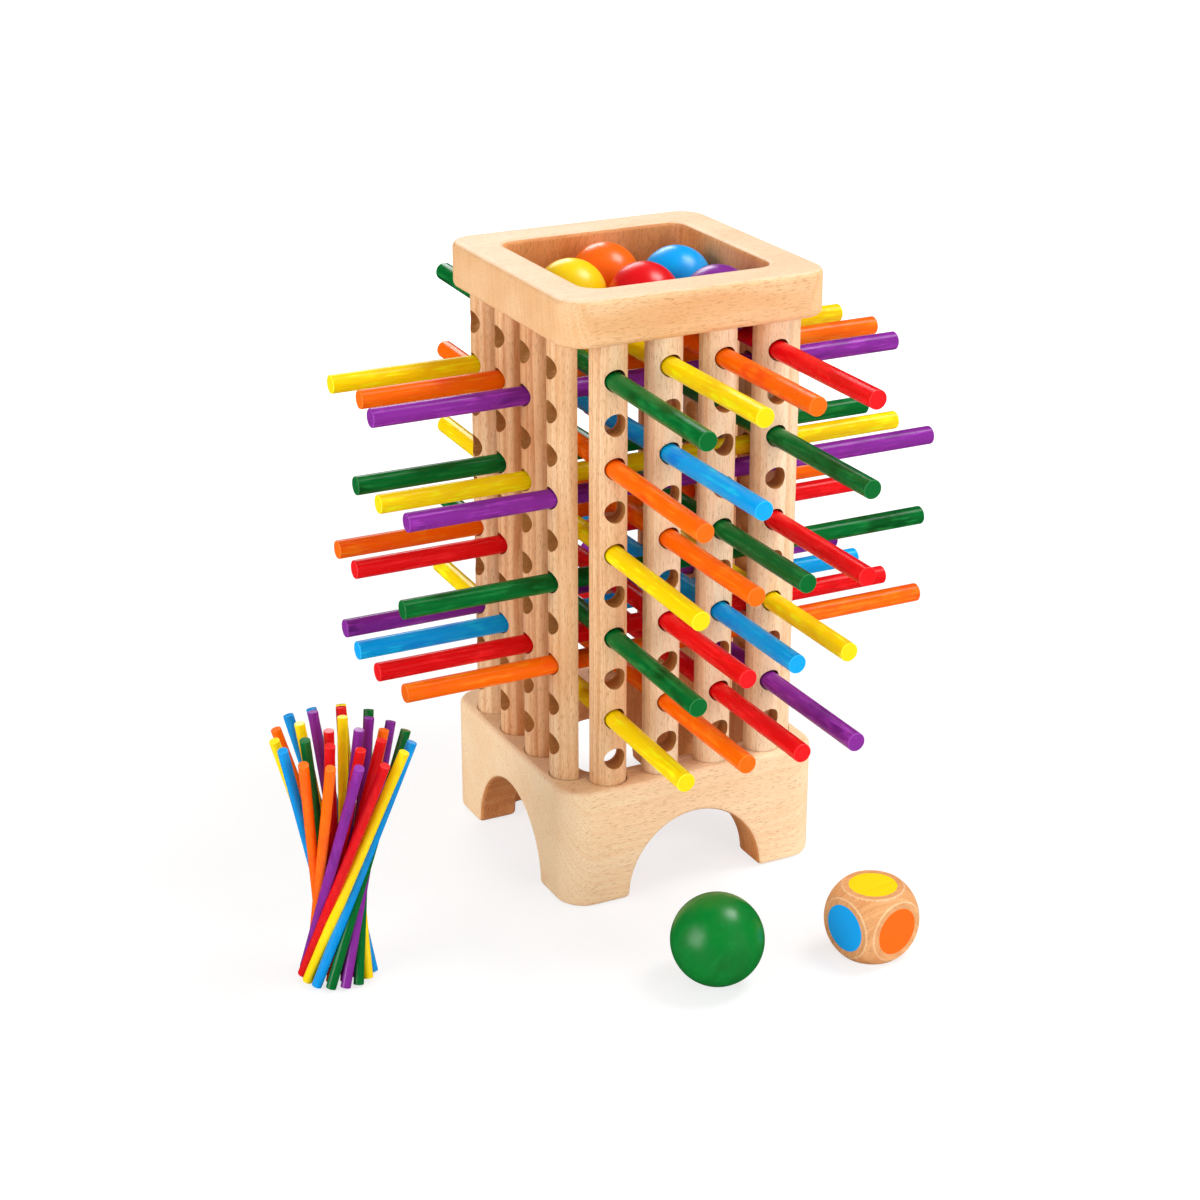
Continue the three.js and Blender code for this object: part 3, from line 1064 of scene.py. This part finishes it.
@dataclass
class Die:
    """The beech colour die: a cube turned nearly to a ball, with a painted spot on each flat."""

    shop: Workshop
    side: float = 30 * MM
    round_diameter: float = 39 * MM
    fineness: int = 6
    turn: float = 11.0
    rim: float = 3 * MM
    rim_edge: float = 0.5 * MM
    rim_steps: int = 3
    spot_roughness: float = 0.4
    spot_bump: float = 0.0005 * MM
    spots: dict[Triple, Paint] = field(
        default_factory=lambda: {
            (0, 0, 1): Paint.YELLOW,
            (0, -1, 0): Paint.ORANGE,
            (-1, 0, 0): Paint.BLUE,
            (1, 0, 0): Paint.GREEN,
            (0, 1, 0): Paint.RED,
            (0, 0, -1): Paint.PURPLE,
        }
    )

    def cut_ball(self) -> BMesh:
        """Cut a ball flat on six sides and break the flats' rims.

        Returns:
            The die's mesh, centred on the origin.
        """
        mesh = bmesh.new()
        bmesh.ops.create_icosphere(mesh, subdivisions=self.fineness, radius=self.round_diameter / 2)
        for way in self.spots:
            normal = Vector(way)
            flat = normal * self.side / 2
            bmesh.ops.bisect_plane(
                mesh, geom=whole(mesh), plane_co=flat, plane_no=normal, clear_outer=True
            )
            bmesh.ops.edgeloop_fill(mesh, edges=[edge for edge in mesh.edges if edge.is_boundary])
        bmesh.ops.recalc_face_normals(mesh, faces=mesh.faces)
        soften(mesh, sharp_edges(mesh, 25), self.rim_edge, self.rim_steps)
        return mesh

    def flat(self, mesh: BMesh, way: Triple) -> BMFace:
        """The largest face that looks one way."""
        facing = [face for face in mesh.faces if face.normal.dot(Vector(way)) > 0.999]
        return max(facing, key=lambda face: face.calc_area())

    def mark_rims(self, mesh: BMesh) -> None:
        """Give the last material to the broken rims of the flats: paler wood, partly wear and partly a
        painted edge highlight.

        Args:
            mesh: The die's mesh.
        """
        flat_radius = math.sqrt((self.round_diameter / 2) ** 2 - (self.side / 2) ** 2)
        for face in mesh.faces:
            spot = face.calc_center_median()
            for way in self.spots:
                height = spot.dot(Vector(way))
                offset = (spot - height * Vector(way)).length - flat_radius
                if height > self.side / 2 - self.rim_edge and abs(offset) < self.rim_edge:
                    face.material_index = len(self.spots) + 1

    def paint_spots(self, mesh: BMesh) -> list[Material]:
        """Set a spot into each flat and give it its own material.

        Args:
            mesh: The die's mesh.

        Returns:
            The spots' paints, from material 1 on.
        """
        paints = []
        flats = [self.flat(mesh, way) for way in self.spots]
        self.mark_rims(mesh)
        for index, (face, paint) in enumerate(zip(flats, self.spots.values()), 1):
            bmesh.ops.inset_individual(mesh, faces=[face], thickness=self.rim - self.rim_edge)
            face.material_index = index
            for edge in face.edges:
                edge.smooth = False
            finish = PaintFinish(
                f"Die spot {paint.label}",
                paint.value,
                self.spot_roughness,
                streak_share=0.0,
                turn=(0, 0, self.turn),
                bump=self.spot_bump,
            )
            paints.append(finish.make(self.shop))
        return paints

    def build(self) -> None:
        """Model and dress the die."""
        low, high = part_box("colour_die")
        mesh = self.cut_ball()
        paints = self.paint_spots(mesh)
        place_mesh(mesh, Matrix.Translation((low + high) / 2) @ turn_about("Z", self.turn))
        grain = (0, 70, 20)
        wood = WoodFinish("Die beech", "f0b47a", "d68846", "a8642e", grain, 1.6, 0.35, 0.45, 0.4)
        # Paler wood on the flats' rims: partly wear, partly a painted edge highlight.
        wear_and_highlight = WoodFinish("Worn highlit beech", "f5cb9c", "e6b07a", "cc8c54", grain, 1.6, 0.2, 0.2, 0.3)
        materials = [wood.make(self.shop), *paints, wear_and_highlight.make(self.shop)]
        piece = commit("colour_die_wood", mesh, materials)
        even_shading(piece)
        dress(piece, "colour_die", "colour_die")


@dataclass
class SpareSticks:
    """The twisted bundle of thin spare sticks: three rings that lean round a waist."""

    shop: Workshop
    tower_axis: Vector
    node: str = "spare_stick_bundle"
    foot: Triple = (-166 * MM, -62.5 * MM, 0.0)
    diameter: float = 4.2 * MM
    length: float = 112 * MM
    shortest_by: float = 3 * MM
    waist_height: float = 32 * MM
    lean: float = 19.5
    lean_spread: tuple[float, float] = (-0.8, 0.4)
    tip: float = 3.4
    tip_way: float = -26.6
    bite: float = 0.5 * MM
    edge: float = 0.25 * MM
    edge_steps: int = 2
    sides: int = 24
    seed: int = 7
    roughness: float = 0.2
    streak_share: float = 0.35
    bump: float = 0.01 * MM
    refraction: float = 1.5
    # Darker blue and red for the bundle: painted shade against the stronger light there.
    painted_shade_blue: str = "0090de"
    painted_shade_red: str = "de0a12"
    rings: tuple[str, ...] = (
        "YELLOW RED PURPLE",
        "RED PURPLE YELLOW GREEN RED RED RED ORANGE PURPLE",
        "YELLOW BLUE BLUE ORANGE YELLOW BLUE ORANGE ORANGE"
        " PURPLE RED YELLOW BLUE GREEN PURPLE GREEN",
    )

    def waist(self, count: int) -> float:
        """The waist radius of a ring of sticks that press against each other."""
        return (self.diameter - self.bite) / (2 * math.sin(math.pi / count))

    def stick_place(self, count: int, index: int, draw: random.Random) -> Matrix:
        """Where one stick leans.

        Args:
            count: The sticks in its ring.
            index: Its number in the ring.
            draw: The source of its small unevenness.

        Returns:
            The matrix that brings an upright, centred stick to its place about the bundle's axis.
        """
        waist = self.waist(count)
        outer = self.waist(len(self.rings[-1].split()))
        lean = self.lean + draw.uniform(*self.lean_spread)
        slope = math.tan(math.radians(lean)) * waist / outer
        angle = 2 * math.pi * index / count
        twist = level_vector(angle + math.pi / 2, slope)
        tip = level_vector(math.radians(self.tip_way), math.tan(math.radians(self.tip)))
        axis = (twist + tip + UP).normalized()
        middle = self.diameter / 2 * math.sqrt(1 - axis.z**2) + self.length / 2 * axis.z
        centre = level_vector(angle, waist) + twist * (middle - self.waist_height) + tip * middle
        centre.z = middle
        return Matrix.Translation(centre) @ lean_to(axis)

    def stick(self, count: int, index: int, draw: random.Random) -> BMesh:
        """Model one stick in its place about the bundle's axis.

        Args:
            count: The sticks in its ring.
            index: Its number in the ring.
            draw: The source of its small unevenness.

        Returns:
            The stick's mesh.
        """
        length = self.length - draw.uniform(0, self.shortest_by)
        mesh = bmesh.new()
        add_rod(mesh, self.diameter / 2, length, self.sides)
        soften(mesh, sharp_edges(mesh), self.edge, self.edge_steps)
        bmesh.ops.translate(mesh, verts=mesh.verts, vec=(0, 0, (length - self.length) / 2))
        centre = Matrix.Translation(self.tower_axis + Vector(self.foot))
        place_mesh(mesh, centre @ self.stick_place(count, index, draw))
        return mesh

    def finish(self, paint: Paint) -> PaintFinish:
        """Choose a spare stick's glossy paint; blue and red are darker than on the tower's sticks, a
        painted shade against the stronger light on the bundle.

        Args:
            paint: The stick's colour.

        Returns:
            The finish.
        """
        painted_shade_paints = {Paint.BLUE: self.painted_shade_blue, Paint.RED: self.painted_shade_red}
        return PaintFinish(
            f"Spare stick {paint.label}",
            painted_shade_paints.get(paint, paint.value),
            self.roughness,
            self.streak_share,
            run=(0, 0, 1),
            turn=(0, 90, 0),
            bump=self.bump,
            refraction=self.refraction,
        )

    def build(self) -> None:
        """Model and dress the bundle as one piece of separate sticks."""
        draw = random.Random(self.seed)
        order = list(Paint)
        bundle = bmesh.new()
        for ring in self.rings:
            names = ring.split()
            for index, name in enumerate(names):
                stick = self.stick(len(names), index, draw)
                for face in stick.faces:
                    face.material_index = order.index(Paint[name])
                join(bundle, stick)
        materials = [self.finish(paint).make(self.shop) for paint in order]
        piece = commit("spare_sticks_paint", bundle, materials)
        even_shading(piece)
        dress(piece, self.node, self.node)


@dataclass(frozen=True)
class Lamp:
    """A square soft lamp: its direction and distance from the tower, side, power and mirroring."""

    name: str
    way: Triple
    distance: float
    side: float
    power: float
    mirrored: bool = True

    def hang(self, target: Vector) -> None:
        """Hang the lamp and aim it.

        Args:
            target: The point it shines at.
        """
        data = bpy.data.lights.new(self.name, "AREA")
        data.shape, data.size, data.energy = "SQUARE", self.side, self.power
        lamp = bpy.data.objects.new(self.name, data)
        lamp.location = target + Vector(self.way).normalized() * self.distance
        lamp.rotation_euler = (target - lamp.location).to_track_quat("-Z", "Y").to_euler()
        lamp.visible_glossy = self.mirrored
        bpy.context.scene.collection.objects.link(lamp)


@dataclass
class Studio:
    """The camera, the white floor and the soft lights."""

    axis: Vector
    camera_offset: Triple = (-464.6 * MM, -895.2 * MM, 520.4 * MM)
    yaw: float = 26.626
    pitch: float = 22.157
    lens: float = 74.75
    sensor: float = 36.0
    floor_side: float = 14.0
    floor_drop: float = 0.2 * MM
    floor_albedo: float = 0.92
    floor_seen: float = 0.3
    floor_lift: float = 0.74
    floor_white: tuple[float, float] = (0.3, 0.75)
    ambient: float = 0.38
    mirrored: float = 0.03
    lamp_aim: float = 120 * MM
    lamps: tuple[Lamp, ...] = (
        Lamp("Key", (0.47, -0.15, 0.87), 1.5, 0.6, 13.2),
        Lamp("Left fill", (-0.95, -0.15, 0.26), 1.4, 0.9, 11.5),
        Lamp("Back light", (0.2, 0.84, 0.5), 1.6, 0.6, 6.8),
        Lamp("Front fill", (0.4, -0.87, 0.14), 1.6, 1.4, 16.0, mirrored=False),
    )

    def camera(self) -> None:
        """Set the camera at the photograph's viewpoint."""
        yaw, pitch = math.radians(self.yaw), math.radians(self.pitch)
        level = math.cos(pitch)
        ahead = Vector((math.sin(yaw) * level, math.cos(yaw) * level, -math.sin(pitch)))
        data = bpy.data.cameras.new("Camera")
        data.lens, data.sensor_width = self.lens, self.sensor
        eye = bpy.data.objects.new("Camera", data)
        eye.location = self.axis + Vector(self.camera_offset)
        eye.rotation_euler = ahead.to_track_quat("-Z", "Y").to_euler()
        bpy.context.scene.collection.objects.link(eye)
        bpy.context.scene.camera = eye

    def rays(self, graph: Graph) -> tuple[NodeSocket, NodeSocket]:
        """Tell rays apart.

        Args:
            graph: The material's or world's graph.

        Returns:
            A mask of camera and transmission rays, and one of glossy rays.
        """
        path = graph.add("ShaderNodeLightPath").outputs
        seen = graph.math("MAXIMUM", path["Is Camera Ray"], path["Is Transmission Ray"])
        return seen, path["Is Glossy Ray"]

    def floor(self) -> None:
        """Lay the pale floor.

        It is lifted where it is seen, to full white away from the toy, and dim where mirrored.
        """
        mesh = bmesh.new()
        bmesh.ops.create_grid(mesh, x_segments=1, y_segments=1, size=self.floor_side / 2)
        bmesh.ops.translate(mesh, verts=mesh.verts, vec=(0, 0, -self.floor_drop))
        material, graph, shader = blank("Floor white")
        seen, glossy = self.rays(graph)
        place = graph.add("ShaderNodeTexCoord").outputs["Object"]
        reach = graph.add("ShaderNodeVectorMath", {0: place}, operation="LENGTH").outputs["Value"]
        lift = graph.ramp(reach, *self.floor_white, self.floor_lift, 1.0)
        lit, shown = (*(self.floor_albedo,) * 3, 1), (*(self.floor_seen,) * 3, 1)
        surface = {
            "Base Color": graph.mix(seen, lit, shown),
            "Roughness": 1.0,
            "Specular IOR Level": 0.0,
            "Emission Color": WHITE,
            "Emission Strength": graph.math("MULTIPLY", seen, lift),
        }
        graph.feed(shader, surface)
        dim = graph.add("ShaderNodeEmission", {"Strength": self.mirrored}).outputs[0]
        mixed = graph.add("ShaderNodeMixShader", {0: glossy, 1: shader.outputs[0], 2: dim})
        graph.feed(graph.tree.nodes["Material Output"], {"Surface": mixed.outputs[0]})
        commit("Floor", mesh, [material])

    def world(self) -> None:
        """Light all round softly, white where it is seen and dim where it is mirrored."""
        world = bpy.data.worlds.new("Studio")
        world.use_nodes = True
        bpy.context.scene.world = world
        graph = Graph(world.node_tree)
        seen, glossy = self.rays(graph)
        strength = graph.math("MULTIPLY_ADD", seen, 1 - self.ambient, self.ambient)
        strength = graph.math("MULTIPLY_ADD", glossy, self.mirrored - self.ambient, strength)
        background = world.node_tree.nodes["Background"]
        graph.feed(background, {"Color": WHITE, "Strength": strength})

    def build(self) -> None:
        """Build the whole studio."""
        self.camera()
        self.floor()
        self.world()
        for lamp in self.lamps:
            lamp.hang(self.axis + UP * self.lamp_aim)
        bpy.context.scene.view_settings.view_transform = "Standard"


def main() -> None:
    """Load the frame and build the toy around it."""
    logging.basicConfig(level=logging.INFO, format="%(name)s: %(message)s")
    for item in list(bpy.data.objects):
        bpy.data.objects.remove(item)
    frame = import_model()
    nodes = sorted(frame["nodes"])
    shop = Workshop(grain_group(), coat_group())
    tower = Tower(shop)
    Studio(tower.axis).build()
    tower.build()
    Sticks(shop, [node for node in nodes if node.startswith("stick_")]).build()
    Balls(shop, [node for node in nodes if node.startswith("ball_")]).build()
    Die(shop).build()
    SpareSticks(shop, tower.axis).build()


if __name__ == "__main__":
    main()
